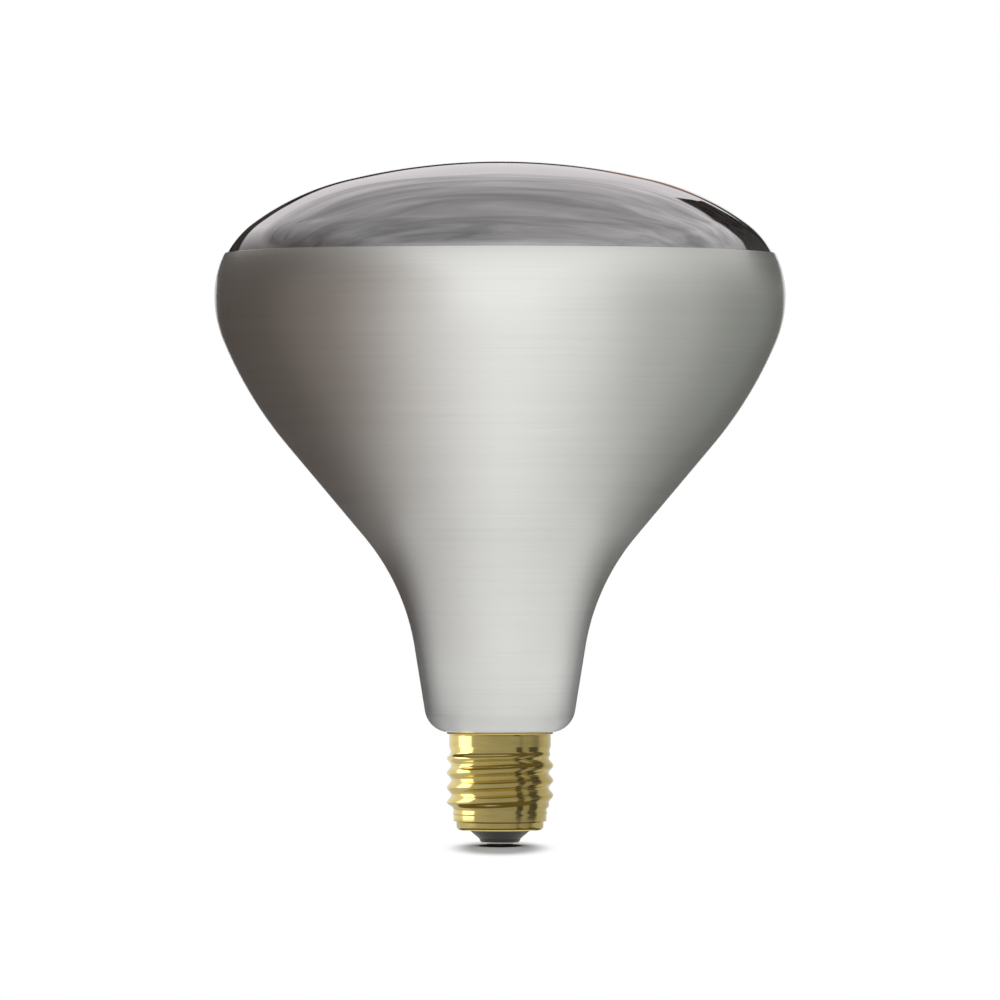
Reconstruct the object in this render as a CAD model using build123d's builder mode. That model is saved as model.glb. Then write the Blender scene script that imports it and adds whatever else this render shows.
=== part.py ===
from build123d import *
import os
from math import cos, pi, radians, sin

# A mushroom-shaped reflector bulb with a screw cap.
# Millimetres, +Z up along the bulb's axis, origin at the tip of the centre contact.

# Centre contact: a domed disc with a stem
contact_diameter = 9.1
contact_dome = 0.75
contact_rim = 0.2
stem_diameter = 3.0
stem_length = 2.0

# Insulator: a short nose, a cone and a flange that lies inside the cap
insulator_nose_diameter = 9.5
insulator_nose_height = 0.8
insulator_waist_diameter = 10.2
insulator_cone_height = 2.1
insulator_diameter = 15.0
insulator_flange_height = 1.2

# Screw shell: rolled sheet, from the cup round the insulator up to the flared rim
sheet = 0.35
cup_ledge = 1.4
cup_round = 1.7
cup_height = 1.95
cup_step_height = 0.3
skirt_step = 0.6
skirt_height = 2.63
collar_diameter = 24.9
collar_step = 0.35
collar_slope_height = 1.15
collar_height = 2.8
rim_flare = 0.55
rim_slope_height = 0.25
rim_height = 0.35

# Rolled screw thread, right-handed, fading out over part of a turn at both ends
thread_diameter = 26.1
thread_depth = 1.05
thread_pitch = 3.629
thread_full_turns = 3.0
thread_fade_turns = 0.5
thread_start_angle = 180.0
thread_sections_per_turn = 6

# Coated body: heel on the rim, neck, hollow throat, cone, flank and belly up to the equator
heel_flat = 0.35
heel_radius = 6.2
neck_taper = 9.2
neck_length = 15.85
throat_radius = 56.0
flank_radius = 99.8
flank_turn = 17.3
belly_radius = 28.7
belly_turn = 22.8
equator_diameter = 140.0

# Crown of bare glass above the edge of the coat
coat_thickness = 0.55
coat_turn = 27.6
shoulder_radius = 22.15
shoulder_turn = 53.1
crown_radius = 61.4
crown_turn = 22.8

# Clearances between pieces that sit in one another
stem_clearance = 0.05
insulator_clearance = 0.05
flange_clearance = 0.15
spigot_clearance = 0.15
spigot_end_clearance = 0.3

# Levels along the axis, from the contact's tip up
contact_seat_z = contact_dome + contact_rim
nose_top_z = contact_seat_z + insulator_nose_height
shell_base_z = nose_top_z + insulator_cone_height
cup_floor_z = shell_base_z + sheet
cup_round_z = shell_base_z + cup_round
cup_top_z = shell_base_z + cup_height
skirt_base_z = cup_top_z + cup_step_height
thread_foot_z = skirt_base_z + skirt_height
thread_turns = thread_full_turns + 2 * thread_fade_turns
thread_head_z = thread_foot_z + thread_turns * thread_pitch
thread_fade_height = thread_fade_turns * thread_pitch
collar_base_z = thread_head_z + collar_slope_height
collar_top_z = collar_base_z + collar_height
seat_z = collar_top_z + rim_slope_height + rim_height

# Radii that several features share
insulator_radius = insulator_diameter / 2
cup_hole_radius = insulator_radius + insulator_clearance
cup_floor_radius = cup_hole_radius + cup_ledge
cup_radius = cup_floor_radius + cup_round
crest_radius = thread_diameter / 2
root_radius = crest_radius - thread_depth
skirt_radius = root_radius - skirt_step
collar_radius = collar_diameter / 2
collar_foot_radius = collar_radius - collar_step
rim_radius = collar_radius + rim_flare
collar_bore_radius = collar_radius - sheet
spigot_radius = collar_bore_radius - spigot_clearance


def fade_share(turns_left):
    """How far the thread has faded, from 0 in the full thread to 1 at its very end."""
    return (1 + cos(pi * min(turns_left / thread_fade_turns, 1))) / 2


def thread_round(turn):
    """Centre and radius of the thread's level section, a number of turns above its foot."""
    foot_fade = fade_share(turn)
    head_fade = fade_share(thread_turns - turn)
    full_share = 1 - foot_fade - head_fade
    plain_radius = skirt_radius * foot_fade + collar_foot_radius * head_fade
    offset = full_share * thread_depth / 2
    angle = radians(thread_start_angle) + 2 * pi * (turn - thread_fade_turns)
    centre = (offset * cos(angle), offset * sin(angle), thread_foot_z + turn * thread_pitch)
    return centre, plain_radius + full_share * (crest_radius + root_radius) / 2


# Screw shell: cup, skirt, thread, collar and rim, hollow inside
with BuildPart() as screw_shell:
    # Cup and skirt below the thread
    with BuildSketch(Plane.XZ):
        with BuildLine():
            Line((0, shell_base_z), (cup_floor_radius, shell_base_z))
            JernArc((cup_floor_radius, shell_base_z), (1, 0), cup_round, 90)
            Polyline(
                (cup_radius, cup_round_z),
                (cup_radius, cup_top_z),
                (skirt_radius, skirt_base_z),
                (skirt_radius, thread_foot_z),
                (0, thread_foot_z),
                (0, shell_base_z),
            )
        make_face()
    revolve(axis=Axis.Z)
    # Thread: level rounds whose centres wind round the axis once a pitch
    section_count = round(thread_turns * thread_sections_per_turn)
    for section in range(section_count + 1):
        centre, radius = thread_round(thread_turns * section / section_count)
        with BuildSketch(Plane(origin=centre)):
            Circle(radius)
    loft(ruled=True)
    # Collar and rim above the thread
    with BuildSketch(Plane.XZ):
        with BuildLine():
            Polyline(
                (0, thread_head_z),
                (collar_foot_radius, thread_head_z),
                (collar_radius, collar_base_z),
                (collar_radius, collar_top_z),
                (rim_radius, collar_top_z + rim_slope_height),
                (rim_radius, seat_z),
                (0, seat_z),
                (0, thread_head_z),
            )
        make_face()
    revolve(axis=Axis.Z)
    # Hollow, one sheet inside the cup, the skirt, the thread's root and the collar
    with BuildSketch(Plane.XZ):
        with BuildLine():
            Polyline(
                (0, cup_floor_z),
                (cup_floor_radius, cup_floor_z),
                (cup_radius - sheet, cup_round_z),
                (cup_radius - sheet, cup_top_z),
                (skirt_radius - sheet, skirt_base_z),
                (skirt_radius - sheet, thread_foot_z),
                (root_radius - sheet, thread_foot_z + thread_fade_height),
                (root_radius - sheet, thread_head_z - thread_fade_height),
                (collar_foot_radius - sheet, thread_head_z),
                (collar_bore_radius, collar_base_z),
                (collar_bore_radius, seat_z),
                (0, seat_z),
                (0, cup_floor_z),
            )
        make_face()
    revolve(axis=Axis.Z, mode=Mode.SUBTRACT)
    # Hole in the cup's floor for the insulator
    with BuildSketch(Plane.XY.offset(shell_base_z)):
        Circle(cup_hole_radius)
    extrude(amount=sheet, mode=Mode.SUBTRACT)

# Insulator: its flange lies on the cup's floor, and a blind hole takes the contact's stem
with BuildPart() as insulator:
    with BuildSketch(Plane.XZ):
        with BuildLine():
            flange_radius = cup_floor_radius - flange_clearance
            Polyline(
                (0, contact_seat_z),
                (insulator_nose_diameter / 2, contact_seat_z),
                (insulator_waist_diameter / 2, nose_top_z),
                (insulator_radius, shell_base_z),
                (insulator_radius, cup_floor_z),
                (flange_radius, cup_floor_z),
                (flange_radius, cup_floor_z + insulator_flange_height),
                (0, cup_floor_z + insulator_flange_height),
                (0, contact_seat_z),
            )
        make_face()
    revolve(axis=Axis.Z)
    with BuildSketch(Plane.XY.offset(contact_seat_z)):
        Circle(stem_diameter / 2 + stem_clearance)
    extrude(amount=stem_length + stem_clearance, mode=Mode.SUBTRACT)

# Centre contact: the dome points down, and the stem goes up into the insulator
with BuildPart() as centre_contact:
    with BuildSketch(Plane.XZ):
        with BuildLine():
            contact_radius = contact_diameter / 2
            dome_radius = (contact_radius**2 + contact_dome**2) / (2 * contact_dome)
            stem_radius = stem_diameter / 2
            RadiusArc((0, 0), (contact_radius, contact_dome), -dome_radius)
            Polyline(
                (contact_radius, contact_dome),
                (contact_radius, contact_seat_z),
                (stem_radius, contact_seat_z),
                (stem_radius, contact_seat_z + stem_length),
                (0, contact_seat_z + stem_length),
                (0, 0),
            )
        make_face()
    revolve(axis=Axis.Z)

# Glass envelope: one outline from the spigot in the collar up to the crown's top
with BuildPart() as glass_envelope:
    with BuildSketch(Plane.XZ):
        with BuildLine():
            # Body: each stretch runs on from the last, and the cone makes up the width
            heel = JernArc((spigot_radius + heel_flat, seat_z), (1, 0), heel_radius, 90 - neck_taper)
            neck = Line(heel @ 1, heel @ 1 + (heel % 1) * neck_length)
            cone_angle = belly_turn + flank_turn
            throat = JernArc(neck @ 1, neck % 1, throat_radius, neck_taper - cone_angle)
            belly_width = belly_radius * (1 - cos(radians(belly_turn)))
            flank_width = flank_radius * (cos(radians(belly_turn)) - cos(radians(cone_angle)))
            cone_width = equator_diameter / 2 - belly_width - flank_width - (throat @ 1).X
            cone_length = cone_width / sin(radians(cone_angle))
            cone = Line(throat @ 1, throat @ 1 + (throat % 1) * cone_length)
            flank = JernArc(cone @ 1, cone % 1, flank_radius, flank_turn)
            belly = JernArc(flank @ 1, flank % 1, belly_radius, belly_turn)
            # Coat: over the equator to a square edge that stands proud of the glass
            coat = JernArc(belly @ 1, belly % 1, shoulder_radius + coat_thickness, coat_turn)
            coat_edge = Line(coat @ 1, coat @ 1 + (coat % 1).rotate(Axis.Z, 90) * coat_thickness)
            # Crown: shoulder and crown, then a round cap centred on the axis
            shoulder = JernArc(coat_edge @ 1, coat % 1, shoulder_radius, shoulder_turn - coat_turn)
            crown = JernArc(shoulder @ 1, shoulder % 1, crown_radius, crown_turn)
            cap_turn = 90 - shoulder_turn - crown_turn
            cap = JernArc(crown @ 1, crown % 1, (crown @ 1).X / sin(radians(cap_turn)), cap_turn)
            # Spigot of the neck, down inside the collar
            spigot_base_z = collar_base_z + spigot_end_clearance
            Polyline(
                cap @ 1,
                (0, spigot_base_z),
                (spigot_radius, spigot_base_z),
                (spigot_radius, seat_z),
                heel @ 0,
            )
        make_face()
    revolve(axis=Axis.Z)

# Named pieces, one file each
glass_envelope.part.label = "glass_envelope"
screw_shell.part.label = "screw_shell"
insulator.part.label = "insulator"
centre_contact.part.label = "centre_contact"
os.makedirs("parts", exist_ok=True)
for piece in (glass_envelope, screw_shell, insulator, centre_contact):
    export_step(piece.part, f"parts/{piece.part.label}.step")
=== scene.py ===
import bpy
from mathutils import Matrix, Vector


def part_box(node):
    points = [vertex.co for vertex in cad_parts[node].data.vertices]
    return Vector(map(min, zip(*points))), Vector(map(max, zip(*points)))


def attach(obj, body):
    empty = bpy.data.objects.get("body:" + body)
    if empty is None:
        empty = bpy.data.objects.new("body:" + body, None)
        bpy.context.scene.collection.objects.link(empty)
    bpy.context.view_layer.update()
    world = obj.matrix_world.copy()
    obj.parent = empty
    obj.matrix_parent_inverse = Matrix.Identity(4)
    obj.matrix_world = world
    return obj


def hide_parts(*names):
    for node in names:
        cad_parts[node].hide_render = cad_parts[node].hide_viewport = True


bl_info = {
    "name": "Reflector Bulb",
    "version": (1, 0, 0),
    "blender": (4, 5, 0),
    "location": "View3D > Sidebar > Bulb",
    "description": "Dresses a mushroom-shaped reflector bulb with its coat, mirrored crown and screw cap",
    "category": "Object",
}

from math import acos, ceil, copysign, cos, pi, radians, sin, tan

import bpy
from bpy.props import FloatProperty, FloatVectorProperty, IntProperty, PointerProperty
from bpy.types import Operator, Panel, PropertyGroup
from mathutils import Vector

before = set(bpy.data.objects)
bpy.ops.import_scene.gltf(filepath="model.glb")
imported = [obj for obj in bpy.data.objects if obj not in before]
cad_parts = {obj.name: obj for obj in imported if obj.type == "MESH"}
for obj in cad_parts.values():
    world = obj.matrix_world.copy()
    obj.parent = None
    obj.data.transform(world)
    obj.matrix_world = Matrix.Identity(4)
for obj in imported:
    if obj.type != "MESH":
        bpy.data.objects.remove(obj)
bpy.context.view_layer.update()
ENVELOPE_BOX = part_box("glass_envelope")
SHELL_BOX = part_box("screw_shell")
INSULATOR_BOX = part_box("insulator")
CONTACT_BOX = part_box("centre_contact")

MM = 0.001
BODY = "root"


# Settings

LEAST_FACETS = 32


def length(name, description, default):
    """A length that a user would change, in metres."""
    return FloatProperty(name=name, description=description, default=default, unit="LENGTH", precision=5)


def angle(name, description, degrees):
    """An angle that a user would change, given in degrees."""
    return FloatProperty(name=name, description=description, default=radians(degrees), subtype="ANGLE")


def number(name, description, default, least=0.0):
    """A plain number that a user would change."""
    return FloatProperty(name=name, description=description, default=default, min=least)


def amount(name, description, default):
    """A share from none to all."""
    return FloatProperty(
        name=name, description=description, default=default, min=0.0, max=1.0, subtype="FACTOR"
    )


def colour(name, description, default):
    """A colour of a finish, as linear red, green and blue."""
    return FloatVectorProperty(
        name=name, description=description, default=default, min=0.0, max=1.0, size=3, subtype="COLOR"
    )


def facets(default):
    """How many facets a piece has round the axis."""
    return IntProperty(
        name="Segments", description="Facets round the axis", default=default, min=LEAST_FACETS
    )


class BULB_PG_envelope(PropertyGroup):
    """Sizes and finish of the glass envelope."""

    segments: facets(224)
    equator: length("Equator radius", "Widest radius of the coated body", ENVELOPE_BOX[1].x)
    seat: length("Seat height", "Height at which the heel rests on the cap's rim", SHELL_BOX[1].z)
    spigot_radius: length("Spigot radius", "Radius of the neck's spigot inside the collar", 11.95 * MM)
    spigot_base: length("Spigot base", "Height of the spigot's lower end", ENVELOPE_BOX[0].z)
    heel_flat: length("Heel flat", "Width of the flat ring on the rim", 0.35 * MM)
    heel_radius: length("Heel radius", "Rounding of the heel above the rim", 6.2 * MM)
    neck_taper: angle("Neck taper", "Lean of the neck away from the axis", 9.2)
    neck_length: length("Neck length", "Straight length of the neck", 15.85 * MM)
    throat_radius: length("Throat radius", "Hollow curve between neck and cone", 56.0 * MM)
    flank_radius: length("Flank radius", "Curve above the straight cone", 99.8 * MM)
    flank_turn: angle("Flank turn", "Angle that the flank turns through", 17.3)
    belly_radius: length("Belly radius", "Curve just below the equator", 28.7 * MM)
    belly_turn: angle("Belly turn", "Angle that the belly turns through", 22.8)
    coat_thickness: length("Coat thickness", "How far the coat stands proud of the glass", 0.55 * MM)
    coat_turn: angle("Coat turn", "Angle from the equator to the coat's edge", 27.6)
    coat_edge_round: length("Coat edge rounding", "Rounding of the coat's upper edge", 0.25 * MM)
    shoulder_radius: length("Shoulder radius", "Curve of the glass above the equator", 22.15 * MM)
    shoulder_turn: angle("Shoulder turn", "Angle that the shoulder turns through", 53.1)
    crown_radius: length("Crown radius", "Curve between the shoulder and the top", 61.4 * MM)
    crown_turn: angle("Crown turn", "Angle that the crown turns through", 22.8)
    coat_colour: colour("Coat colour", "Brushed metal of the body", (0.81, 0.81, 0.78))
    crown_colour: colour("Crown colour", "Smoky mirror of the crown", (0.60, 0.585, 0.59))
    crown_edge: colour("Crown edge", "What the mirror turns to at a glancing angle", (0.82, 0.79, 0.80))
    brushing: amount("Brushing", "How directional the brushed finish is", 0.6)
    lacquer: amount("Lacquer", "How much clear lacquer covers the coat", 0.7)
    lacquer_haze: amount("Lacquer haze", "Roughness of the clear lacquer", 0.1)


class BULB_PG_cap(PropertyGroup):
    """Sizes and finish of the screw shell."""

    segments: facets(256)
    base: length("Base height", "Height of the cup's lower face", SHELL_BOX[0].z)
    rim: length("Rim height", "Height of the flared rim's top", SHELL_BOX[1].z)
    sheet: length("Sheet", "Thickness of the rolled sheet", 0.35 * MM)
    edge_round: length("Edge rounding", "Rounding of the sheet's outer edges and bends", 0.12 * MM)
    hole_radius: length("Hole radius", "Hole in the cup's floor for the insulator", 7.55 * MM)
    floor_radius: length("Floor radius", "Flat of the cup's floor", 8.95 * MM)
    cup_round: length("Cup rounding", "Rounding of the cup's lower edge", 1.7 * MM)
    cup_height: length("Cup height", "Height of the cup below the step", 1.95 * MM)
    step_height: length("Step height", "Height of the step from cup to skirt", 0.3 * MM)
    skirt_height: length("Skirt height", "Height of the plain skirt", 2.63 * MM)
    bead_height: length("Bead height", "Height of the bead above the skirt's foot", 1.95 * MM)
    bead_width: length("Bead width", "Width of the bead along the axis", 0.5 * MM)
    bead_rise: length("Bead rise", "How far the bead stands out", 0.13 * MM)
    skirt_step: length("Skirt step", "How far the skirt lies inside the thread's root", 0.6 * MM)
    thread_radius: length("Thread radius", "Radius over the crests", SHELL_BOX[1].x)
    thread_depth: length("Thread depth", "From crest to root", 1.05 * MM)
    thread_pitch: length("Thread pitch", "Rise in one turn", 3.629 * MM)
    thread_turns: number("Full turns", "Turns of full thread", 3.0, least=1.0)
    fade_turns: number("Fade", "Turns over which each end fades", 0.5, least=0.1)
    start_angle: angle("Start angle", "Where the full thread's crest begins", 180.0)
    collar_radius: length("Collar radius", "Radius of the plain collar", 12.45 * MM)
    collar_step: length("Collar step", "How far the collar's foot lies inside it", 0.35 * MM)
    collar_slope: length("Collar slope", "Height of the slope below the collar", 1.15 * MM)
    collar_round: length("Collar rounding", "Rounding where the slope meets the collar", 0.4 * MM)
    collar_height: length("Collar height", "Height of the plain collar", 2.8 * MM)
    rim_flare: length("Rim flare", "How far the rim stands out from the collar", 0.55 * MM)
    rim_slope: length("Rim slope", "Height of the flare below the rim", 0.25 * MM)
    gold: colour("Gold", "Polished metal of the shell", (0.80, 0.645, 0.235))


class BULB_PG_tip(PropertyGroup):
    """Sizes and finishes of the insulator and the contact."""

    segments: facets(128)
    nose_radius: length("Nose radius", "Lower radius of the insulator", 4.75 * MM)
    waist_radius: length("Waist radius", "Radius where nose and cone meet", 5.1 * MM)
    waist_height: length("Waist height", "Height of the waist", 1.75 * MM)
    cone_radius: length("Cone radius", "Upper radius of the insulator's cone", 7.5 * MM)
    insulator_round: length("Insulator rounding", "Rounding of the insulator's edges", 0.15 * MM)
    stem_radius: length("Stem radius", "Radius of the contact's stem", 1.5 * MM)
    stem_gap: length("Stem gap", "Clearance round the stem", 0.05 * MM)
    contact_rim: length("Contact rim", "Height of the contact's straight edge", 0.2 * MM)
    dome_round: length("Dome rounding", "Rounding between the dome and the straight edge", 0.08 * MM)
    contact_round: length("Contact rounding", "Rounding of the contact's upper edge", 0.06 * MM)
    insulator_colour: colour("Insulator colour", "Dark moulded insulator", (0.017, 0.017, 0.018))
    insulator_gloss: amount("Insulator gloss", "How much the insulator's surface reflects", 0.45)
    contact_colour: colour("Contact colour", "Plated contact", (0.66, 0.66, 0.65))


class BULB_PG_stage(PropertyGroup):
    """Camera, floor and the cards that the bulb reflects."""

    camera_distance: length("Camera distance", "From the bulb's axis", 2.0)
    camera_height: length("Camera height", "Above the floor", 84.7 * MM)
    field: length("Field", "Width of the picture at the bulb's axis", 0.24513)
    floor_reach: length("Floor reach", "Half width of the pale floor", 6.0)
    daylight: number("Daylight", "Strength of the white surroundings", 1.0)
    shadow_width: length("Shadow width", "Half width of the soft shadow on the floor", 15 * MM)
    shadow_depth: length("Shadow depth", "Half depth of the soft shadow on the floor", 54 * MM)
    shadow_lead: length("Shadow lead", "How far the soft shadow lies in front of the axis", 15 * MM)
    # Painted shadow: size of the near-black patch painted on the floor under the contact
    contact_shadow_width: length("Touch width", "Half width of the dark patch under the contact", 6 * MM)
    contact_shadow_depth: length("Touch depth", "Half depth of the dark patch under the contact", 12 * MM)
    low_gap: length("Low gap", "How far the low cards lie above the floor", 0.6 * MM)
    flag_distance: length("Flag distance", "Of the side flags from the middle", 120 * MM)
    flag_cove: length("Flag cove", "Rounding between a flag and its apron", 15 * MM)
    flag_top: length("Flag top", "Height of the side flags", 275 * MM)
    flag_front: length("Flag front", "Front end of the side flags", -420 * MM)
    flag_back: length("Flag back", "Back end of the side flags at the floor", 900 * MM)
    flag_rake: number("Flag rake", "How fast the flags' back end comes forward with height", 5.0)
    flag_rake_top: length("Rake top", "Height above which the flags' back end stands upright", 142 * MM)
    flag_lean: angle("Flag lean", "How far the flags' shading leans forward towards the top", 19.0)
    scrim_height: length("Scrim height", "Height of the overhead scrim", 550 * MM)
    scrim_reach: length("Scrim reach", "Half width of the overhead scrim", 750 * MM)
    scrim_front: length("Scrim front", "Front edge of the overhead scrim", -400 * MM)
    scrim_back: length("Scrim back", "Back edge of the overhead scrim", 950 * MM)
    ring_radius: length("Ring radius", "Radius of the low ring round the cap", 42 * MM)
    ring_top: length("Ring top", "Height of the low ring round the cap", 27 * MM)
    ring_base: length("Ring base", "Height of the ring's floor", 0.1 * MM)
    ring_floor_hole: length("Ring floor hole", "Inner radius of the ring's floor", 1.7 * MM)
    ring_roof_hole: length("Ring roof hole", "Inner radius of the ring's roof", 13.6 * MM)
    neck_ring_radius: length("Neck ring radius", "Radius of the ring round the neck", 50 * MM)
    neck_ring_base: length("Neck ring base", "Height of the neck ring's lower edge", 20 * MM)
    neck_ring_top: length("Neck ring top", "Height of the neck ring's upper edge", 54 * MM)
    horizon_distance: length("Horizon distance", "Of the dark horizons behind the bulb", 600 * MM)


# Outlines, as lists of radius and height

CHORD = 0.7 * MM
ARC_STEP = radians(4)
LEAST_ARC_STEPS = 2
LEAST_TURN = 1e-4
SIDE_SHARE = 0.49


def run_arc(path, heading, radius, turn):
    """Carries a path on along an arc and gives its new heading. A positive turn goes left."""
    side = copysign(1, turn)
    r, z = path[-1]
    centre_r = r - side * radius * sin(heading)
    centre_z = z + side * radius * cos(heading)
    steps = ceil(abs(turn) * max(radius / CHORD, 1 / ARC_STEP))
    steps = max(steps, LEAST_ARC_STEPS)
    for step in range(1, steps + 1):
        at = heading + turn * step / steps
        path.append((centre_r + side * radius * sin(at), centre_z - side * radius * cos(at)))
    return heading + turn


def run_line(path, heading, distance):
    """Carries a path straight on."""
    r, z = path[-1]
    steps = max(ceil(distance / CHORD), 1)
    for step in range(1, steps + 1):
        reach = distance * step / steps
        path.append((r + reach * cos(heading), z + reach * sin(heading)))


def rounded(corners):
    """A path through corners given as radius, height and rounding, with each rounding as an arc.

    A rounding takes at most a share of the shorter side beside it.
    """
    points = [Vector(corner[:2]) for corner in corners]
    roundings = [corner[2] for corner in corners[1:]]
    path = [tuple(points[0])]
    for before, corner, after, rounding in zip(points, points[1:], points[2:], roundings):
        come = (corner - before).normalized()
        leave = (after - corner).normalized()
        turn = acos(max(-1.0, min(1.0, come.dot(leave))))
        if rounding == 0.0 or turn < LEAST_TURN:
            path.append(tuple(corner))
            continue
        room = SIDE_SHARE * min((corner - before).length, (after - corner).length)
        reach = min(rounding * tan(turn / 2), room)
        path.append(tuple(corner - come * reach))
        side = copysign(1, come.x * leave.y - come.y * leave.x)
        heading = copysign(acos(come.x), come.y)
        run_arc(path, heading, reach / tan(turn / 2), side * turn)
    path.append(tuple(points[-1]))
    return path


# Meshes

POINT_RADIUS = 1e-7
SHARP_ANGLE = radians(35)


def wound_mesh(name, rounds, segments, closed=False):
    """A mesh through level rounds, each given as centre x, centre y, radius and height."""
    vertices = []
    rings = []
    for x, y, radius, z in rounds:
        if radius < POINT_RADIUS:
            rings.append([len(vertices)] * segments)
            vertices.append((x, y, z))
            continue
        rings.append(list(range(len(vertices), len(vertices) + segments)))
        for step in range(segments):
            at = 2 * pi * step / segments
            vertices.append((x + radius * cos(at), y + radius * sin(at), z))
    faces = []
    pairs = list(zip(rings, rings[1:]))
    if closed:
        pairs.append((rings[-1], rings[0]))
    for low, high in pairs:
        for step in range(segments):
            beside = (step + 1) % segments
            corners = [low[step], low[beside], high[beside], high[step]]
            faces.append(list(dict.fromkeys(corners)))
    mesh = bpy.data.meshes.new(name)
    mesh.from_pydata(vertices, [], faces)
    mesh.validate()
    mesh.shade_smooth()
    mesh.set_sharp_from_angle(angle=SHARP_ANGLE)
    return mesh


def plain_rounds(path):
    """Level rounds on the axis for an outline."""
    return [(0.0, 0.0, r, z) for r, z in path]


def place(mesh, node, slot, *materials):
    """Puts a finished mesh in the scene in place of its solid."""
    piece = bpy.data.objects.new(mesh.name, mesh)
    bpy.context.scene.collection.objects.link(piece)
    for material in materials:
        mesh.materials.append(material)
    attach(piece, BODY)
    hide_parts(node)


# Finishes

NOISE_RANGE = (0.3, 0.7)
GRAIN_HEIGHT = 0.05 * MM
QUARTER_TURN = 0.25


def start_finish(name):
    """A new material, its node tree and its shader."""
    material = bpy.data.materials.new(name)
    material.use_nodes = True
    tree = material.node_tree
    return material, tree, tree.nodes["Principled BSDF"]


def add_node(tree, kind, **values):
    """A node with some of its inputs set by name."""
    node = tree.nodes.new(kind)
    for name, value in values.items():
        node.inputs[name.replace("_", " ")].default_value = value
    return node


def position_on(tree, kind="Object", **changes):
    """Where a point lies on its object or UV map, after a move, turn or stretch."""
    place_of = tree.nodes.new("ShaderNodeTexCoord")
    change = add_node(tree, "ShaderNodeMapping", **changes)
    tree.links.new(place_of.outputs[kind], change.inputs["Vector"])
    return change.outputs["Vector"]


def stretched_noise(tree, scale, detail, curl=0.0):
    """Noise on the piece itself, stretched by a different scale along each axis."""
    noise = add_node(tree, "ShaderNodeTexNoise", Scale=1.0, Detail=detail, Distortion=curl)
    tree.links.new(position_on(tree, Scale=scale), noise.inputs["Vector"])
    return noise.outputs["Fac"]


def ramp_between(tree, source, low, high, start=0.0, end=1.0):
    """A colour that goes from one to another as a value goes from start to end."""
    ramp = tree.nodes.new("ShaderNodeValToRGB")
    for element, position, tint in zip(ramp.color_ramp.elements, (start, end), (low, high)):
        element.position = position
        element.color = (*tint, 1.0)
    tree.links.new(source, ramp.inputs["Fac"])
    return ramp.outputs["Color"]


def carried(tree, source, start, end, low=0.0, high=1.0, kind="LINEAR"):
    """A value carried from one range into another, and held at the ends of that one."""
    carry = add_node(tree, "ShaderNodeMapRange", From_Min=start, From_Max=end, To_Min=low, To_Max=high)
    carry.interpolation_type = kind
    tree.links.new(source, carry.inputs["Value"])
    return carry.outputs["Result"]


def shaded(tint, share):
    """A colour made lighter or darker by a share."""
    return tuple(min(part * share, 1.0) for part in tint)


def vary(tree, shader, grain, tint, shades, roughness):
    """Lets a grain vary a finish: its colour between two shades, its roughness between two values."""
    low, high = (shaded(tint, share) for share in shades)
    paint = ramp_between(tree, grain, low, high, *NOISE_RANGE)
    rough = carried(tree, grain, *NOISE_RANGE, *roughness)
    tree.links.new(paint, shader.inputs["Base Color"])
    tree.links.new(rough, shader.inputs["Roughness"])


def raise_grain(tree, shader, grain, strength):
    """Raises a grain a little from the surface."""
    bump = add_node(tree, "ShaderNodeBump", Strength=strength, Distance=GRAIN_HEIGHT)
    tree.links.new(grain, bump.inputs["Height"])
    tree.links.new(bump.outputs["Normal"], shader.inputs["Normal"])


def brushed_coat(settings):
    """Metal brushed round the axis, under clear lacquer."""
    material, tree, shader = start_finish("brushed coat")
    shader.inputs["Metallic"].default_value = 1.0
    shader.inputs["Anisotropic"].default_value = settings.brushing
    shader.inputs["Anisotropic Rotation"].default_value = QUARTER_TURN
    shader.inputs["Coat Weight"].default_value = settings.lacquer
    shader.inputs["Coat Roughness"].default_value = settings.lacquer_haze
    round_axis = tree.nodes.new("ShaderNodeTangent")
    round_axis.direction_type = "RADIAL"
    round_axis.axis = "Z"
    tree.links.new(round_axis.outputs["Tangent"], shader.inputs["Tangent"])
    broad = stretched_noise(tree, scale=(9.0, 9.0, 900.0), detail=3.0)
    fine = stretched_noise(tree, scale=(40.0, 40.0, 4200.0), detail=2.0)
    mix = tree.nodes.new("ShaderNodeMix")
    mix.data_type = "FLOAT"
    tree.links.new(broad, mix.inputs["A"])
    tree.links.new(fine, mix.inputs["B"])
    lines = mix.outputs["Result"]
    vary(tree, shader, lines, settings.coat_colour, shades=(0.96, 1.03), roughness=(0.38, 0.44))
    raise_grain(tree, shader, lines, strength=0.05)
    return material


def mirrored_crown(settings):
    """Smoky mirror behind clear glass, lighter at a glancing angle."""
    material, tree, shader = start_finish("mirrored crown")
    shader.inputs["Metallic"].default_value = 1.0
    shader.inputs["Specular Tint"].default_value = (*settings.crown_edge, 1.0)
    film = stretched_noise(tree, scale=(22.0, 22.0, 60.0), detail=4.0)
    vary(tree, shader, film, settings.crown_colour, shades=(0.93, 1.04), roughness=(0.03, 0.06))
    return material


def polished_gold(settings):
    """Polished gold-coloured metal with faint rolling marks."""
    material, tree, shader = start_finish("polished gold")
    shader.inputs["Metallic"].default_value = 1.0
    marks = stretched_noise(tree, scale=(150.0, 150.0, 900.0), detail=3.0)
    vary(tree, shader, marks, settings.gold, shades=(0.94, 1.04), roughness=(0.07, 0.13))
    return material


def dark_insulator(settings):
    """Dark moulded insulator with a fine grain."""
    material, tree, shader = start_finish("dark insulator")
    shader.inputs["Specular IOR Level"].default_value = settings.insulator_gloss
    grain = stretched_noise(tree, scale=(1500.0, 1500.0, 1500.0), detail=3.0)
    vary(tree, shader, grain, settings.insulator_colour, shades=(0.85, 1.15), roughness=(0.30, 0.40))
    raise_grain(tree, shader, grain, strength=0.03)
    return material


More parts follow.
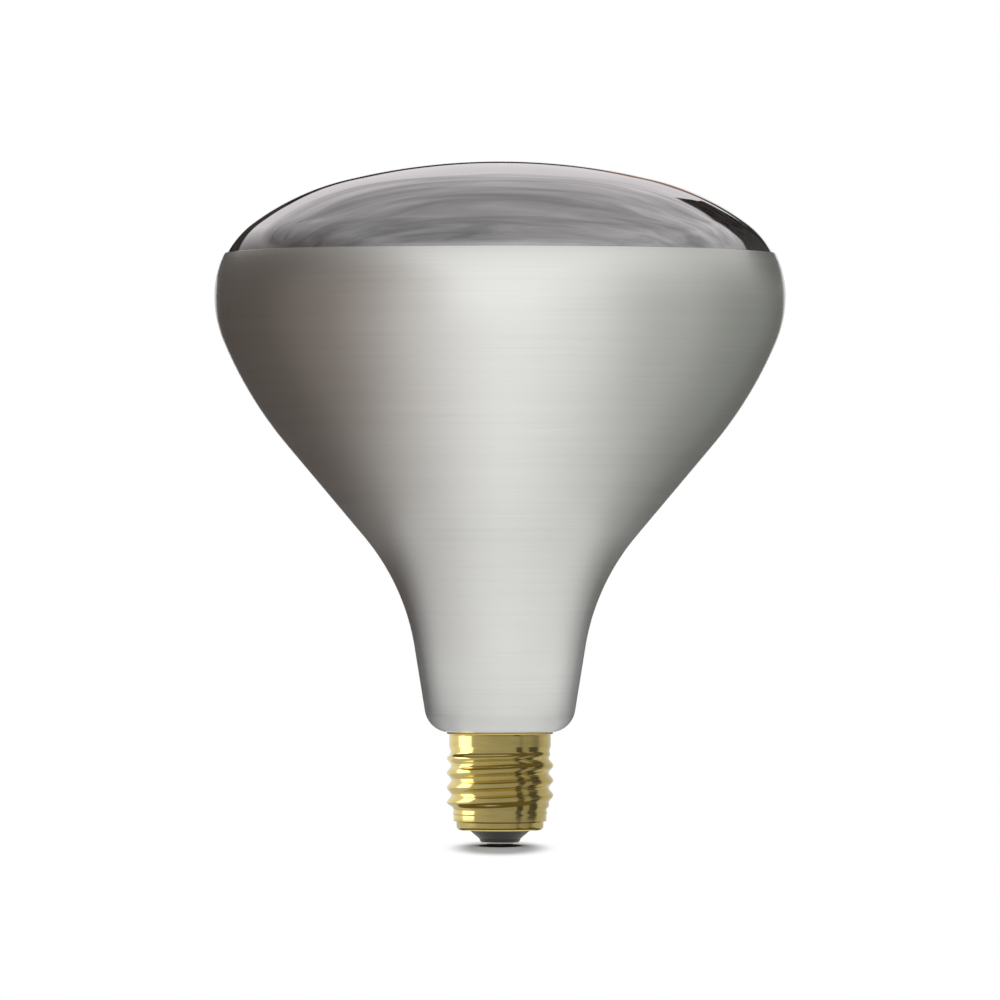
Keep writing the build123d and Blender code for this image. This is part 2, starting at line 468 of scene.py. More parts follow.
def plated_contact(settings):
    """Plated contact with faint turning marks."""
    material, tree, shader = start_finish("plated contact")
    shader.inputs["Metallic"].default_value = 1.0
    marks = stretched_noise(tree, scale=(900.0, 900.0, 4000.0), detail=2.0)
    vary(tree, shader, marks, settings.contact_colour, shades=(0.9, 1.05), roughness=(0.16, 0.26))
    return material


# Envelope

def body_path(settings):
    """Outline of the coated body, from the spigot up to the coat's rounded edge."""
    seat = settings.seat
    heel_start = settings.spigot_radius + settings.heel_flat
    path = [(0.0, settings.spigot_base), (settings.spigot_radius, settings.spigot_base)]
    path += [(settings.spigot_radius, seat), (heel_start, seat)]
    cone_lean = settings.belly_turn + settings.flank_turn
    heading = run_arc(path, 0.0, settings.heel_radius, pi / 2 - settings.neck_taper)
    run_line(path, heading, settings.neck_length)
    heading = run_arc(path, heading, settings.throat_radius, settings.neck_taper - cone_lean)
    belly_width = settings.belly_radius * (1 - cos(settings.belly_turn))
    flank_width = settings.flank_radius * (cos(settings.belly_turn) - cos(cone_lean))
    cone_width = settings.equator - belly_width - flank_width - path[-1][0]
    run_line(path, heading, cone_width / sin(cone_lean))
    heading = run_arc(path, heading, settings.flank_radius, settings.flank_turn)
    heading = run_arc(path, heading, settings.belly_radius, settings.belly_turn)
    coat_radius = settings.shoulder_radius + settings.coat_thickness
    edge_round = settings.coat_edge_round
    heading = run_arc(path, heading, coat_radius, settings.coat_turn - edge_round / coat_radius)
    heading = run_arc(path, heading, edge_round, pi / 2)
    run_line(path, heading, settings.coat_thickness - edge_round)
    return path


def crown_path(settings, start):
    """Outline of the bare crown, from the coat's edge up to the axis."""
    path = [start]
    heading = pi / 2 + settings.coat_turn
    bare_turn = settings.shoulder_turn - settings.coat_turn
    heading = run_arc(path, heading, settings.shoulder_radius, bare_turn)
    heading = run_arc(path, heading, settings.crown_radius, settings.crown_turn)
    top_turn = pi - heading
    run_arc(path, heading, path[-1][0] / sin(top_turn), top_turn)
    path[-1] = (0.0, path[-1][1])
    return path


class BULB_OT_envelope(Operator):
    """Makes the glass envelope: the brushed body and the mirrored crown"""

    bl_idname = "bulb.envelope"
    bl_label = "Glass Envelope"

    def execute(self, context):
        settings = context.scene.bulb_envelope
        body = body_path(settings)
        crown = crown_path(settings, body[-1])
        path = body + crown[1:]
        mesh = wound_mesh("bulb_envelope", plain_rounds(path), settings.segments)
        place(mesh, "glass_envelope", "brushed_silver", brushed_coat(settings), mirrored_crown(settings))
        edge_height = body[-1][1]
        for face in mesh.polygons:
            face.material_index = int(face.center.z > edge_height)
        return {"FINISHED"}


# Screw shell

THREAD_ROUNDS_PER_TURN = 40


def fade_share(turns_left, fade_turns):
    """How far the thread has faded, from 0 in the full thread to 1 at its very end."""
    return (1 + cos(pi * min(turns_left / fade_turns, 1))) / 2


def thread_rounds(cap, foot, foot_radius, head_radius):
    """Level rounds of the thread: their centres wind round the axis once a pitch."""
    turns = cap.thread_turns + 2 * cap.fade_turns
    root = cap.thread_radius - cap.thread_depth
    count = ceil(turns * THREAD_ROUNDS_PER_TURN)
    rounds = []
    for step in range(count + 1):
        turn = turns * step / count
        foot_fade = fade_share(turn, cap.fade_turns)
        head_fade = fade_share(turns - turn, cap.fade_turns)
        full = 1 - foot_fade - head_fade
        plain = foot_radius * foot_fade + head_radius * head_fade
        offset = full * cap.thread_depth / 2
        at = cap.start_angle + 2 * pi * (turn - cap.fade_turns)
        radius = plain + full * (cap.thread_radius + root) / 2
        rounds.append((offset * cos(at), offset * sin(at), radius, foot + turn * cap.thread_pitch))
    return rounds


class BULB_OT_screw_shell(Operator):
    """Makes the screw shell: cup, skirt, rolled thread, collar and flared rim"""

    bl_idname = "bulb.screw_shell"
    bl_label = "Screw Shell"

    def execute(self, context):
        cap = context.scene.bulb_cap
        cup_radius = cap.floor_radius + cap.cup_round
        cup_top = cap.base + cap.cup_height
        skirt_radius = cap.thread_radius - cap.thread_depth - cap.skirt_step
        skirt_base = cup_top + cap.step_height
        bead = skirt_base + cap.bead_height
        bead_radius = skirt_radius + cap.bead_rise
        thread_foot = skirt_base + cap.skirt_height
        turns = cap.thread_turns + 2 * cap.fade_turns
        thread_head = thread_foot + turns * cap.thread_pitch
        collar_foot = cap.collar_radius - cap.collar_step
        collar_base = thread_head + cap.collar_slope
        collar_top = collar_base + cap.collar_height
        rim_radius = cap.collar_radius + cap.rim_flare
        bore = cap.collar_radius - cap.sheet
        soft = cap.edge_round
        lower = rounded([
            (cap.hole_radius, cap.base + cap.sheet, 0.0),
            (cap.hole_radius, cap.base, soft),
            (cup_radius, cap.base, cap.cup_round),
            (cup_radius, cup_top, soft),
            (skirt_radius, skirt_base, soft),
            (skirt_radius, bead - cap.bead_width, soft),
            (bead_radius, bead - cap.bead_width / 3, soft),
            (bead_radius, bead + cap.bead_width / 3, soft),
            (skirt_radius, thread_foot, 0.0),
        ])
        upper = rounded([
            (collar_foot, thread_head, 0.0),
            (cap.collar_radius, collar_base, cap.collar_round),
            (cap.collar_radius, collar_top, soft),
            (rim_radius, collar_top + cap.rim_slope, soft),
            (rim_radius, cap.rim, soft),
            (bore, cap.rim, 0.0),
            (bore, collar_base, 0.0),
            (skirt_radius - cap.sheet, thread_foot, 0.0),
            (skirt_radius - cap.sheet, skirt_base, 0.0),
            (cup_radius - cap.sheet, cup_top, 0.0),
            (cup_radius - cap.sheet, cap.base + cap.cup_round, 0.0),
            (cap.floor_radius, cap.base + cap.sheet, 0.0),
        ])
        thread = thread_rounds(cap, thread_foot, skirt_radius, collar_foot)
        rounds = plain_rounds(lower[:-1]) + thread + plain_rounds(upper[1:])
        mesh = wound_mesh("screw_cap_shell", rounds, cap.segments, closed=True)
        place(mesh, "screw_shell", "gold_shell", polished_gold(cap))
        return {"FINISHED"}


# Insulator and contact

class BULB_OT_insulator(Operator):
    """Makes the dark insulator between the shell and the contact"""

    bl_idname = "bulb.insulator"
    bl_label = "Insulator"

    def execute(self, context):
        tip = context.scene.bulb_tip
        cap = context.scene.bulb_cap
        low, high = INSULATOR_BOX
        floor = cap.base + cap.sheet
        hole = tip.stem_radius + tip.stem_gap
        stem_top = CONTACT_BOX[1].z + tip.stem_gap
        soft = tip.insulator_round
        path = rounded([
            (0.0, stem_top, 0.0),
            (hole, stem_top, 0.0),
            (hole, low.z, 0.0),
            (tip.nose_radius, low.z, soft),
            (tip.waist_radius, tip.waist_height, soft),
            (tip.cone_radius, cap.base, soft),
            (tip.cone_radius, floor, 0.0),
            (high.x, floor, 0.0),
            (high.x, high.z, soft),
            (0.0, high.z, 0.0),
        ])
        mesh = wound_mesh("cap_insulator", plain_rounds(path), tip.segments)
        place(mesh, "insulator", "black_insulator", dark_insulator(tip))
        return {"FINISHED"}


class BULB_OT_contact(Operator):
    """Makes the domed contact at the tip"""

    bl_idname = "bulb.contact"
    bl_label = "Centre Contact"

    def execute(self, context):
        tip = context.scene.bulb_tip
        low, high = CONTACT_BOX
        seat = INSULATOR_BOX[0].z
        dome = seat - tip.contact_rim
        dome_radius = (high.x**2 + dome**2) / (2 * dome)
        path = [(0.0, low.z)]
        run_arc(path, 0.0, dome_radius, acos(1 - dome / dome_radius))
        edge = rounded([
            (*path[-2], 0.0),
            (high.x, dome, tip.dome_round),
            (high.x, seat, tip.contact_round),
            (tip.stem_radius, seat, 0.0),
            (tip.stem_radius, high.z, 0.0),
            (0.0, high.z, 0.0),
        ])
        path = path[:-2] + edge
        mesh = wound_mesh("centre_contact_button", plain_rounds(path), tip.segments)
        place(mesh, "centre_contact", "contact_metal", plated_contact(tip))
        return {"FINISHED"}


# Stage shades, and the share of its reach at which an oval starts to change

WARM_SHADE = (1.0, 0.76, 0.64)
GREEN_SHADE = (0.95, 1.0, 0.89)
GREY_SHADE = (0.98, 0.97, 1.0)
# Painted shade: the floor's grey inside the shadow oval, which deepens the real shadow there
SHADOW_GREY = (0.45, 0.45, 0.45)
# Painted shadow: near-black floor colour under the contact, which shiny surfaces show too
CONTACT_SHADOW_GREY = (0.02, 0.02, 0.02)
SHADOW_CORE = 0.35
# Share of its reach at which the painted contact shadow starts to fade
CONTACT_SHADOW_CORE = 0.8
RING_CORE = 0.85
SCRIM_CORE = 0.72


# Side flags: light levels by place from front to back, and where they turn clear

LEFT_LEVELS = (
    (-0.42, 1.0), (-0.160, 0.61), (-0.080, 0.34), (-0.034, 0.19),
    (0.036, 0.08), (0.122, 0.055), (0.9, 0.05),
)
RIGHT_LEVELS = (
    (-0.42, 1.0), (-0.160, 0.80), (-0.034, 0.44), (0.036, 0.24), (0.122, 0.11), (0.9, 0.07),
)
APRON_LEVELS = ((-0.42, 1.0), (-0.2, 0.94), (0.2, 0.94), (0.45, 1.0), (0.9, 1.0))
LEFT_FADE = (0.172, 0.246, radians(-11.5))
RIGHT_FADE = (0.135, 0.235, 0.0)
FLAG_TOP_FADE = (0.215, 0.275)
FLAG_BACK_FADE = (0.93, 1.0)


# Scrim: light levels by place from front to back, and the drifts in its cloth

SCRIM_LEVELS = ((-0.4, 0.40), (0.19, 0.43), (0.30, 0.59), (0.46, 0.64), (0.62, 0.85), (0.85, 1.0))
SCRIM_SLOPE = 0.95
SCRIM_DRIFTS = (5.5, 12.0, 1.0)
SCRIM_DETAIL = 8.0
SCRIM_CURL = 0.7
SCRIM_STRENGTH = (0.66, 1.22)


# Rings: light levels by bearing, in degrees from the front, left below zero

RING_SEGMENTS = 96
NECK_FADE = (0.044, 0.054)
NECK_LEVELS = (
    (-180, 0.40), (-162, 0.20), (-145, 0.09), (-116, 0.09), (-98, 0.34), (-77, 0.67), (-61, 0.76),
    (-44, 0.80), (-29, 0.81), (0, 0.80), (29, 0.83), (45, 0.88), (61, 0.90), (77, 0.83), (98, 0.52),
    (116, 0.22), (145, 0.14), (162, 0.26), (180, 0.40),
)
ROOF_LEVELS = (
    (-180, 0.40), (-150, 0.18), (-120, 0.10), (-90, 0.24), (-60, 0.46), (-30, 0.66), (0, 0.71),
    (30, 0.70), (60, 0.60), (90, 0.34), (120, 0.14), (150, 0.18), (180, 0.40),
)
LOW_LEFT = ((-180, 0.60), (-108, 0.60), (-75, 0.62), (-50, 0.44), (-10, 0.36))
LOW_RIGHT = ((92, 0.45), (110, 0.50), (180, 0.60))
LEFT_SHINE = (
    (-180, 0.80), (-130, 0.90), (-108, 0.85), (-96, 0.90), (-90, 2.4), (-63, 2.4), (-56, 0.47),
    (-40, 0.43), (-10, 0.37), (20, 0.35),
)
RIGHT_STRIPES = ((36, 0.07), (45, 0.07), (50, 0.31), (60, 0.30), (66, 0.08), (84, 0.07))
FLOOR_LEVELS = (*LOW_LEFT, (32, 0.32), *RIGHT_STRIPES, *LOW_RIGHT)
CUP_LEVELS = (*LOW_LEFT, (36, 0.32), (42, 0.22), (50, 0.33), (70, 0.30), (78, 0.22), *LOW_RIGHT)
THREAD_LEVELS = (
    *LEFT_SHINE, (32, 0.33), *RIGHT_STRIPES, (90, 0.27), (95, 0.45), (110, 0.50), (180, 0.80),
)
COLLAR_LEVELS = (
    *LEFT_SHINE, (36, 0.33), (42, 0.26), (49, 0.32), (62, 0.31), (72, 0.26), (78, 0.22), (84, 0.27),
    (92, 0.40), (110, 0.50), (140, 0.60), (180, 0.80),
)


# The cap's ring: heights between which its levels change, and how far from the axis its painted floor
# tones reach: painted shade round the cap, a pale band inside it, and a painted shadow under the contact

RING_BANDS = (
    ((0.0003, 0.0006), CUP_LEVELS),
    ((0.0042, 0.0050), THREAD_LEVELS),
    ((0.0190, 0.0220), COLLAR_LEVELS),
    ((0.0262, 0.0268), THREAD_LEVELS),
)
# Reach and colour: painted shade round the cap, a pale floor band closer in, and a near-black painted
# shadow under the contact
RING_PAINTED_SHADE_AND_LIGHT = (
    (0.019, (0.13, 0.105, 0.05)),
    (0.0115, (0.82, 0.80, 0.74)),
    (0.0038, (0.02, 0.02, 0.02)),
)


# Horizons: stations given as place across, lower edge and upper edge, and their dark finish

LEFT_HORIZON = (
    (0.190, 0.222, 0.300), (0.150, 0.228, 0.300), (0.125, 0.248, 0.312), (0.105, 0.270, 0.322),
    (0.075, 0.258, 0.306), (0.040, 0.250, 0.292), (-0.050, 0.240, 0.293), (-0.100, 0.242, 0.308),
    (-0.150, 0.185, 0.332), (-0.300, 0.165, 0.336), (-0.600, 0.165, 0.330), (-1.000, 0.165, 0.320),
)
LEFT_WARM_SPAN = (0.030, 0.060, 0.105, 0.122)
RIGHT_HORIZON = (
    (0.146, 0.334, 0.344), (0.160, 0.326, 0.376), (0.173, 0.280, 0.430), (0.184, 0.220, 0.490),
    (0.209, 0.200, 0.508), (0.255, 0.180, 0.522), (0.312, 0.180, 0.548), (0.425, 0.180, 0.545),
    (0.500, 0.180, 0.505), (0.600, 0.180, 0.490), (0.800, 0.180, 0.480), (1.000, 0.180, 0.460),
)
HORIZON_SHADES = ((0.012, 0.012, 0.012), (0.10, 0.09, 0.08))
HORIZON_WARM = (0.36, 0.21, 0.15)
HORIZON_GRAIN = (30.0, 30.0, 45.0)
HORIZON_DETAIL = 6.0
HORIZON_MOTTLE = (0.35, 0.75)
HORIZON_TOP_FADE = (0.93, 1.0)
HORIZON_END_FADE = (0.85, 1.0)


# Parts of the stage's finishes, and the numbers of a mix node's colour sockets

COLOUR_A = 6
COLOUR_B = 7
COLOUR_RESULT = 2


def show(tree, shader):
    """Puts a shader's output on the surface."""
    tree.links.new(shader, tree.nodes["Material Output"].inputs["Surface"])


def emission_finish(name):
    """A material that only glows, its tree and its emission."""
    material, tree, shader = start_finish(name)
    tree.nodes.remove(shader)
    glow = tree.nodes.new("ShaderNodeEmission")
    show(tree, glow.outputs["Emission"])
    return material, tree, glow


def joined(tree, share, one, other):
    """A shader that goes from one to the other as a share goes from 0 to 1."""
    join = tree.nodes.new("ShaderNodeMixShader")
    for socket, source in zip(join.inputs, (share, one, other)):
        tree.links.new(source, socket)
    return join.outputs["Shader"]


def fade_out(tree, glow, share):
    """Lets a glowing sheet turn clear as a share goes from 0 to 1."""
    clear = tree.nodes.new("ShaderNodeBsdfTransparent")
    show(tree, joined(tree, share, glow.outputs["Emission"], clear.outputs["BSDF"]))


def combined(tree, operation, *values):
    """Two values, each a number or a node's output, put through one maths operation."""
    node = tree.nodes.new("ShaderNodeMath")
    node.operation = operation
    for socket, value in zip(node.inputs, values):
        if isinstance(value, float):
            socket.default_value = value
        else:
            tree.links.new(value, socket)
    return node.outputs["Value"]


def mixed(tree, share, one, other):
    """A colour that goes from one, which may be plain, to the other as a share goes from 0 to 1."""
    mix = tree.nodes.new("ShaderNodeMix")
    mix.data_type = "RGBA"
    tree.links.new(share, mix.inputs["Factor"])
    if isinstance(one, tuple):
        mix.inputs[COLOUR_A].default_value = (*one, 1.0)
    else:
        tree.links.new(one, mix.inputs[COLOUR_A])
    tree.links.new(other, mix.inputs[COLOUR_B])
    return mix.outputs[COLOUR_RESULT]


def outside_oval(tree, centre, half_size, core):
    """0 in the core of an oval in its object's own X and Y, rising smoothly to 1 at the oval's rim."""
    scale = [1 / half for half in half_size]
    shift = [-middle * share for middle, share in zip(centre, scale)]
    squeezed = position_on(tree, Location=(*shift, 0.0), Scale=(*scale, 0.0))
    distance = tree.nodes.new("ShaderNodeVectorMath")
    distance.operation = "LENGTH"
    tree.links.new(squeezed, distance.inputs["Vector"])
    return carried(tree, distance.outputs["Value"], core, 1.0, kind="SMOOTHERSTEP")


def outside_round(tree, reach, core):
    """0 in the core of a round on the axis, rising smoothly to 1 at its rim."""
    return outside_oval(tree, (0.0, 0.0), (reach, reach), core)


def measured(tree, axis, start, end, kind="Object", lean=0.0):
    """How far a point of an object or its UV map lies between two places along an axis, from 0 to 1."""
    split = tree.nodes.new("ShaderNodeSeparateXYZ")
    tree.links.new(position_on(tree, kind, Rotation=(-lean, 0.0, 0.0)), split.inputs["Vector"])
    return carried(tree, split.outputs[axis], start, end)


def level_ramp(tree, source, stops, tint):
    """A smooth ramp of light levels; the darker a level, the more of the tint it takes."""
    ramp = tree.nodes.new("ShaderNodeValToRGB")
    steps = ramp.color_ramp
    steps.interpolation = "EASE"
    while len(steps.elements) < len(stops):
        steps.elements.new(position=0.5)
    for element, (position, level) in zip(steps.elements, stops):
        depth = (1 - min(level, 1.0)) ** 2
        element.position = position
        element.color = (*[level * (1 - depth * (1 - part)) for part in tint], 1.0)
    tree.links.new(source, ramp.inputs["Fac"])
    return ramp.outputs["Color"]


def levels_along(tree, stops, tint, start, end, lean=0.0):
    """Light levels from front to back, with each stop's place in metres."""
    shares = [((spot - start) / (end - start), level) for spot, level in stops]
    return level_ramp(tree, measured(tree, "Y", start, end, lean=lean), shares, tint)


def levels_round(tree, stops):
    """Light levels by bearing round the axis, in degrees from the front, left below zero."""
    bearing = tree.nodes.new("ShaderNodeTexGradient")
    bearing.gradient_type = "RADIAL"
    tree.links.new(position_on(tree, Rotation=(0.0, 0.0, pi / 2)), bearing.inputs["Vector"])
    shares = [(0.5 + degrees / 360, level) for degrees, level in stops]
    return level_ramp(tree, bearing.outputs["Fac"], shares, GREY_SHADE)


# Stage finishes

def floor_finish(settings):
    """White floor that takes the shadow close to the bulb, clear from below. Inside the shadow oval its
    grey is painted shade that deepens the real shadow, and under the contact it is a near-black painted
    shadow.

    Shiny surfaces show it white, but for the painted shadow under the contact.
    """
    material, tree, shader = start_finish("pale floor")
    shader.inputs["Roughness"].default_value = 1.0
    shader.inputs["Specular IOR Level"].default_value = 0.0
    # Painted shadow: the floor's colour goes from near black under the contact out to the shadow grey
    contact_shadow_size = (settings.contact_shadow_width, settings.contact_shadow_depth)
    contact_shadow = outside_oval(tree, (0.0, 0.0), contact_shadow_size, CONTACT_SHADOW_CORE)
    paint = ramp_between(tree, contact_shadow, CONTACT_SHADOW_GREY, SHADOW_GREY)
    tree.links.new(paint, shader.inputs["Base Color"])
    # Outside the oval the floor glows plain white; inside it the painted grey takes the real shadow
    shadow_size = (settings.shadow_width, settings.shadow_depth)
    outside = outside_oval(tree, (0.0, -settings.shadow_lead), shadow_size, SHADOW_CORE)
    rays = tree.nodes.new("ShaderNodeLightPath").outputs
    mirrored = combined(tree, "MAXIMUM", rays["Is Glossy Ray"], rays["Is Transmission Ray"])
    # Shiny surfaces show the painted contact shadow instead of white
    mirrored = combined(tree, "MULTIPLY", mirrored, contact_shadow)
    lit = combined(tree, "MAXIMUM", mirrored, outside)
    white = add_node(tree, "ShaderNodeEmission", Strength=1.0)
    clear = tree.nodes.new("ShaderNodeBsdfTransparent")
    side = tree.nodes.new("ShaderNodeNewGeometry")
    above = joined(tree, lit, shader.outputs["BSDF"], white.outputs["Emission"])
    show(tree, joined(tree, side.outputs["Backfacing"], above, clear.outputs["BSDF"]))
    return material


def flag_finish(settings, name, side, tint, stops, fade):
    """A side flag: darker from front to back on a lean, and lighter under the bulb.

    It is clear inside the cap's ring, and turns clear with height and at its top and back edges.
    """
    material, tree, glow = emission_finish(name)
    ends = (settings.flag_front, settings.flag_back)
    wall = levels_along(tree, stops, tint, *ends, settings.flag_lean)
    apron = levels_along(tree, APRON_LEVELS, tint, *ends)
    across = measured(tree, "X", 0.0, side * settings.flag_distance)
    tree.links.new(mixed(tree, across, apron, wall), glow.inputs["Color"])
    fade_start, fade_end, fade_lean = fade
    clear = measured(tree, "Z", fade_start, fade_end, lean=fade_lean)
    inside_ring = combined(tree, "SUBTRACT", 1.0, outside_round(tree, settings.ring_radius, RING_CORE))
    top_edge = measured(tree, "Z", *FLAG_TOP_FADE)
    back_edge = measured(tree, "Y", *FLAG_BACK_FADE, kind="UV")
    for share in (inside_ring, top_edge, back_edge):
        clear = combined(tree, "MAXIMUM", clear, share)
    fade_out(tree, glow, clear)
    return material


def scrim_finish(settings):
    """An overhead scrim with soft drifts in its cloth, lighter to the right, clear towards its rim."""
    material, tree, glow = emission_finish("scrim")
    ends = (settings.scrim_front, settings.scrim_back)
    tree.links.new(levels_along(tree, SCRIM_LEVELS, GREY_SHADE, *ends), glow.inputs["Color"])
    drifts = stretched_noise(tree, SCRIM_DRIFTS, SCRIM_DETAIL, SCRIM_CURL)
    strength = carried(tree, drifts, *NOISE_RANGE, *SCRIM_STRENGTH)
    to_right = measured(tree, "X", -settings.scrim_reach, settings.scrim_reach)
    to_right = combined(tree, "MULTIPLY", to_right, SCRIM_SLOPE)
    to_right = combined(tree, "ADD", to_right, 1.0 - SCRIM_SLOPE / 2)
    tree.links.new(combined(tree, "MULTIPLY", strength, to_right), glow.inputs["Strength"])
    middle = sum(ends) / 2
    half_size = (settings.scrim_reach, settings.scrim_back - middle)
    fade_out(tree, glow, outside_oval(tree, (0.0, middle), half_size, SCRIM_CORE))
    return material


def cap_ring_finish():
    """The ring round the cap: its light changes round the axis, with height, and close to the cap, where
    painted shade and a painted contact shadow stand in for the bulb's shadow on the floor.
    """
    material, tree, glow = emission_finish("cap ring")
    light = levels_round(tree, FLOOR_LEVELS)
    for heights, levels in RING_BANDS:
        light = mixed(tree, measured(tree, "Z", *heights), light, levels_round(tree, levels))
    # Painted shade and painted contact shadow close to the cap, laid over the levels
    for reach, painted_tone in RING_PAINTED_SHADE_AND_LIGHT:
        light = mixed(tree, outside_round(tree, reach, RING_CORE), painted_tone, light)
    tree.links.new(light, glow.inputs["Color"])
    return material


def cap_roof_finish():
    """The top of the ring's roof, which the heel shows."""
    material, tree, glow = emission_finish("cap roof")
    tree.links.new(levels_round(tree, ROOF_LEVELS), glow.inputs["Color"])
    return material


def neck_ring_finish():
    """The ring round the neck: its light changes round the axis, and it turns clear at its top."""
    material, tree, glow = emission_finish("neck ring")
    tree.links.new(levels_round(tree, NECK_LEVELS), glow.inputs["Color"])
    fade_out(tree, glow, measured(tree, "Z", *NECK_FADE))
    return material


def horizon_finish(name, warm_span):
    """A dark mottled horizon that turns clear at its upper edge and its far end.

    A warm span says where a warm stretch starts, is full, is full for the last time and ends.
    """
    material, tree, glow = emission_finish(name)
    mottle = stretched_noise(tree, HORIZON_GRAIN, HORIZON_DETAIL)
    paint = ramp_between(tree, mottle, *HORIZON_SHADES, *HORIZON_MOTTLE)
    if warm_span:
        warm_start, warm_full, warm_last, warm_end = warm_span
        before = measured(tree, "X", warm_full, warm_start)
        after = measured(tree, "X", warm_last, warm_end)
        paint = mixed(tree, combined(tree, "MAXIMUM", before, after), HORIZON_WARM, paint)
    tree.links.new(paint, glow.inputs["Color"])
    upper = measured(tree, "Y", *HORIZON_TOP_FADE, kind="UV")
    far = measured(tree, "X", *HORIZON_END_FADE, kind="UV")
    fade_out(tree, glow, combined(tree, "MAXIMUM", upper, far))
    return material


# Stage

SENSOR_WIDTH = 36.0


def add_stage_piece(name, mesh, material):
    """Puts a piece of the stage in the scene."""
    piece = bpy.data.objects.new(name, mesh)
    mesh.materials.append(material)
    bpy.context.scene.collection.objects.link(piece)
    return piece


def add_card(name, mesh, material):
    """Puts a card in the scene that only shows in shiny surfaces."""
    card = add_stage_piece(name, mesh, material)
    card.visible_camera = False
    card.visible_diffuse = False
    card.visible_shadow = False


def sheet_between(name, one_edge, other_edge):
    """A sheet between two edges of as many points, with a UV map along and across it."""
    count = len(one_edge)
    faces = [(step, step + 1, count + step + 1, count + step) for step in range(count - 1)]
    mesh = bpy.data.meshes.new(name)
    mesh.from_pydata(one_edge + other_edge, [], faces)
    places = mesh.uv_layers.new(name="places")
    for loop in mesh.loops:
        along = (loop.vertex_index % count) / (count - 1)
        across = float(loop.vertex_index >= count)
        places.uv[loop.index].vector = (along, across)
    return mesh


def level_sheet(name, reach, front, back, height):
    """A level sheet that reaches as far to the left as to the right."""
    front_edge = [(-reach, front, height), (reach, front, height)]
    back_edge = [(-reach, back, height), (reach, back, height)]
    return sheet_between(name, front_edge, back_edge)


def add_floor(settings):
    """Puts in the pale floor."""
    reach = settings.floor_reach
    floor = level_sheet("floor", reach, -reach, reach, 0.0)
    add_stage_piece("floor", floor, floor_finish(settings))


def add_flag(settings, name, side, tint, stops, fade):
    """Puts in a side flag whose apron runs in under the bulb and whose back end is raked."""
    out = side * settings.flag_distance
    profile = rounded([
        (0.0, settings.low_gap, 0.0),
        (out, settings.low_gap, settings.flag_cove),
        (out, settings.flag_rake_top, 0.0),
        (out, settings.flag_top, 0.0),
    ])
    front_edge = [(x, settings.flag_front, z) for x, z in profile]
    back_edge = []
    for x, z in profile:
        rake = settings.flag_rake * min(z, settings.flag_rake_top)
        back_edge.append((x, settings.flag_back - rake, z))
    flag = sheet_between(name, front_edge, back_edge)
    add_card(name, flag, flag_finish(settings, name, side, tint, stops, fade))


def add_scrim(settings):
    """Puts in the cloudy scrim overhead."""
    ends = (settings.scrim_front, settings.scrim_back)
    scrim = level_sheet("scrim", settings.scrim_reach, *ends, settings.scrim_height)
    add_card("scrim", scrim, scrim_finish(settings))


def add_ring(name, path, finish):
    """Puts in a card wound round the axis from an outline."""
    add_card(name, wound_mesh(name, plain_rounds(path), RING_SEGMENTS), finish)


def add_rings(settings):
    """Puts in the cap's low ring, the roof that hides it from the neck, and the neck's own ring."""
    inside = settings.ring_radius
    outside = settings.ring_radius + settings.low_gap
    roof_top = settings.ring_top + settings.low_gap / 2
    cap_ring = [
        (settings.ring_floor_hole, settings.ring_base),
        (inside, settings.ring_base),
        (inside, settings.ring_top),
        (settings.ring_roof_hole, settings.ring_top),
    ]
    cap_roof = [
        (settings.ring_roof_hole, roof_top),
        (outside, roof_top),
        (outside, settings.low_gap),
    ]
    neck_ring = [
        (settings.neck_ring_radius, settings.neck_ring_base),
        (settings.neck_ring_radius, settings.neck_ring_top),
    ]
    add_ring("cap_ring", cap_ring, cap_ring_finish())
    add_ring("cap_roof", cap_roof, cap_roof_finish())
    add_ring("neck_ring", neck_ring, neck_ring_finish())


def add_horizon(settings, name, stations, warm_span=None):
    """Puts in a dark horizon behind the bulb that draws the crown's edge."""
    back = settings.horizon_distance
    low_edge = [(x, back, low) for x, low, high in stations]
    high_edge = [(x, back, high) for x, low, high in stations]
    add_card(name, sheet_between(name, low_edge, high_edge), horizon_finish(name, warm_span))


def add_surroundings(settings, scene):
    """Gives the scene its white surroundings."""
    world = bpy.data.worlds.new("white surroundings")
    world.use_nodes = True
    background = world.node_tree.nodes["Background"]
    background.inputs["Color"].default_value = (1.0, 1.0, 1.0, 1.0)
    background.inputs["Strength"].default_value = settings.daylight
    scene.world = world


def add_camera(settings, scene):
    """Puts in the camera, level and straight in front of the bulb."""
    camera = bpy.data.cameras.new("camera")
    camera.sensor_width = SENSOR_WIDTH
    camera.lens = SENSOR_WIDTH * settings.camera_distance / settings.field
    viewer = bpy.data.objects.new("camera", camera)
    viewer.location = (0.0, -settings.camera_distance, settings.camera_height)
    viewer.rotation_euler = (pi / 2, 0.0, 0.0)
    scene.collection.objects.link(viewer)
    scene.camera = viewer


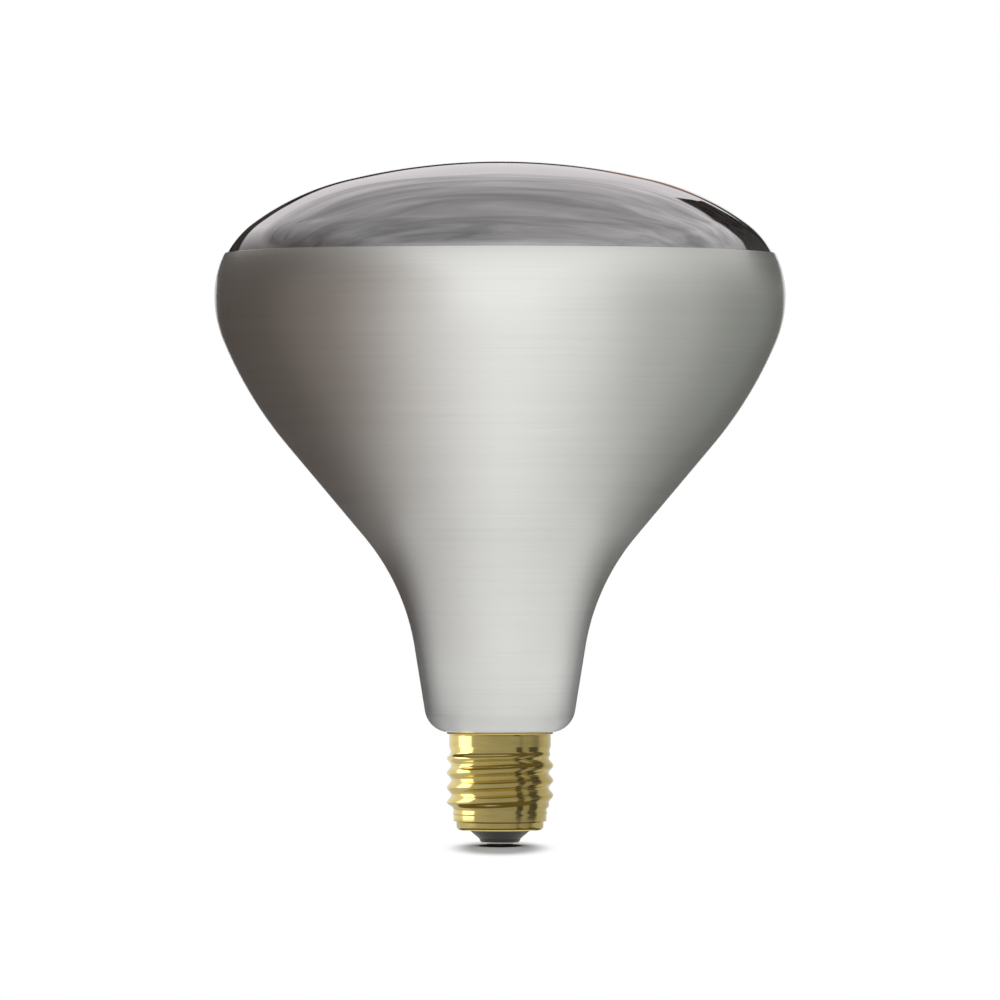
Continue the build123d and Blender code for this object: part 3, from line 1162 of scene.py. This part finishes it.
class BULB_OT_stage(Operator):
    """Sets up the floor, the surroundings, the cards and the camera"""

    bl_idname = "bulb.stage"
    bl_label = "Stage"

    def execute(self, context):
        scene = context.scene
        settings = scene.bulb_stage
        scene.view_settings.view_transform = "Standard"
        add_surroundings(settings, scene)
        add_floor(settings)
        add_flag(settings, "left_flag", -1, WARM_SHADE, LEFT_LEVELS, LEFT_FADE)
        add_flag(settings, "right_flag", 1, GREEN_SHADE, RIGHT_LEVELS, RIGHT_FADE)
        add_scrim(settings)
        add_rings(settings)
        add_horizon(settings, "left_horizon", LEFT_HORIZON, LEFT_WARM_SPAN)
        add_horizon(settings, "right_horizon", RIGHT_HORIZON)
        add_camera(settings, scene)
        return {"FINISHED"}


# Sidebar

class BULB_PT_sidebar(Panel):
    """Lists the bulb's pieces and their settings"""

    bl_idname = "BULB_PT_sidebar"
    bl_label = "Reflector Bulb"
    bl_space_type = "VIEW_3D"
    bl_region_type = "UI"
    bl_category = "Bulb"

    def draw(self, context):
        for operator in PIECES:
            self.layout.operator(operator.bl_idname)
        for name, group in GROUPS.items():
            settings = getattr(context.scene, name)
            box = self.layout.box()
            for setting in group.__annotations__:
                box.prop(settings, setting)


GROUPS = {
    "bulb_envelope": BULB_PG_envelope,
    "bulb_cap": BULB_PG_cap,
    "bulb_tip": BULB_PG_tip,
    "bulb_stage": BULB_PG_stage,
}
PIECES = (BULB_OT_envelope, BULB_OT_screw_shell, BULB_OT_insulator, BULB_OT_contact, BULB_OT_stage)


def register():
    """Registers the settings, the pieces and the sidebar."""
    for group in GROUPS.values():
        bpy.utils.register_class(group)
    for name, group in GROUPS.items():
        setattr(bpy.types.Scene, name, PointerProperty(type=group))
    for operator in PIECES:
        bpy.utils.register_class(operator)
    bpy.utils.register_class(BULB_PT_sidebar)


def unregister():
    """Takes the sidebar, the pieces and the settings out again."""
    bpy.utils.unregister_class(BULB_PT_sidebar)
    for operator in reversed(PIECES):
        bpy.utils.unregister_class(operator)
    for name in GROUPS:
        delattr(bpy.types.Scene, name)
    for group in reversed(GROUPS.values()):
        bpy.utils.unregister_class(group)


def main():
    """Makes the bulb and its stage."""
    register()
    bpy.ops.bulb.envelope()
    bpy.ops.bulb.screw_shell()
    bpy.ops.bulb.insulator()
    bpy.ops.bulb.contact()
    bpy.ops.bulb.stage()


if __name__ == "__main__":
    main()
